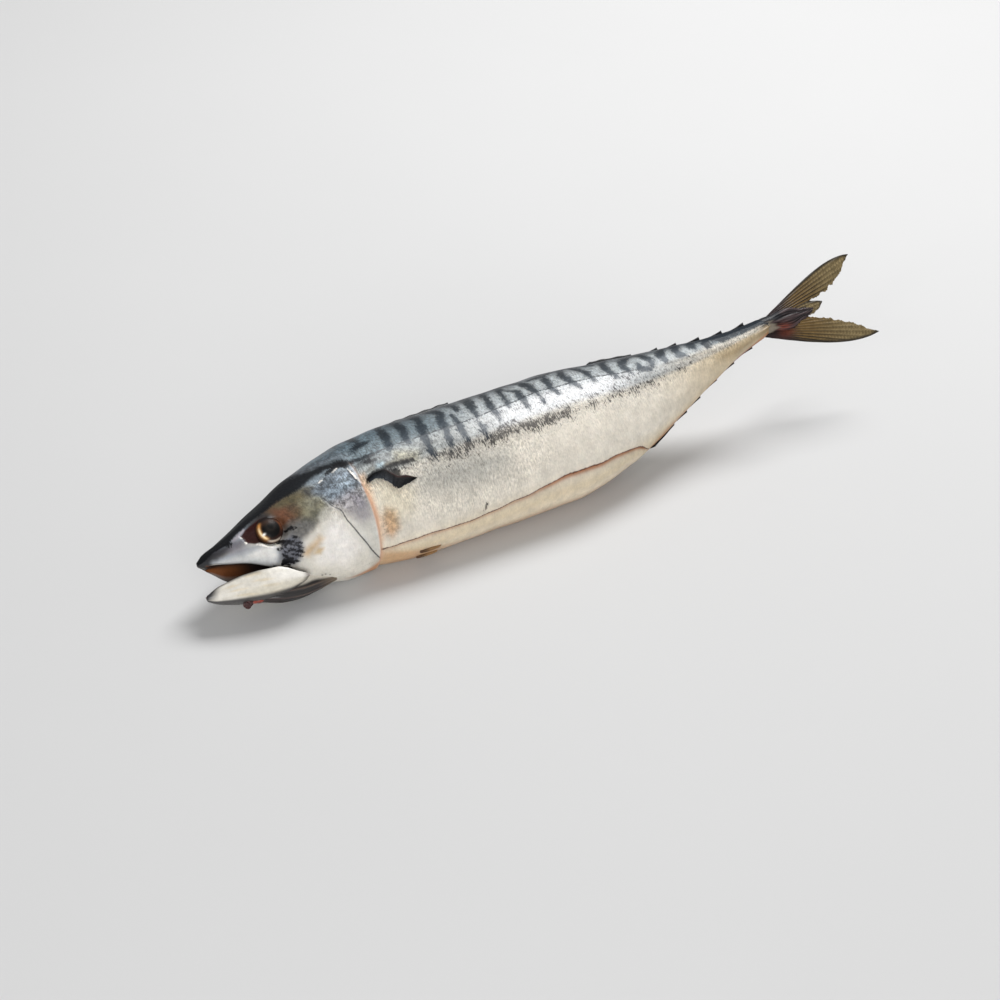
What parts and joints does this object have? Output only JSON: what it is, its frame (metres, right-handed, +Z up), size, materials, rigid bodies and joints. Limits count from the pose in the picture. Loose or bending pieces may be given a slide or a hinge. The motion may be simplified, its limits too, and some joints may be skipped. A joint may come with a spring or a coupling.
{
  "type": "whole raw fish",
  "caption": "Whole raw mackerel, gutted and closed, lying on its right flank with its mouth open and its forked tail lifted.",
  "frame": {"origin": "on the resting plane, under the middle of the bounding box", "axes": "+X along the fish from the snout to the tail, +Y towards the back of the fish, +Z up from the resting plane"},
  "size_m": [0.372, 0.0624, 0.0714],
  "materials": {
    "fish_skin": "wet satin skin, dark barred back, silver flank and cream belly",
    "eye": "glossy dark eye with a golden ring"
  },
  "bodies": {
    "root": {"fish": "fish_skin", "eye_left": "eye", "eye_right": "eye"}
  },
  "joints": []
}
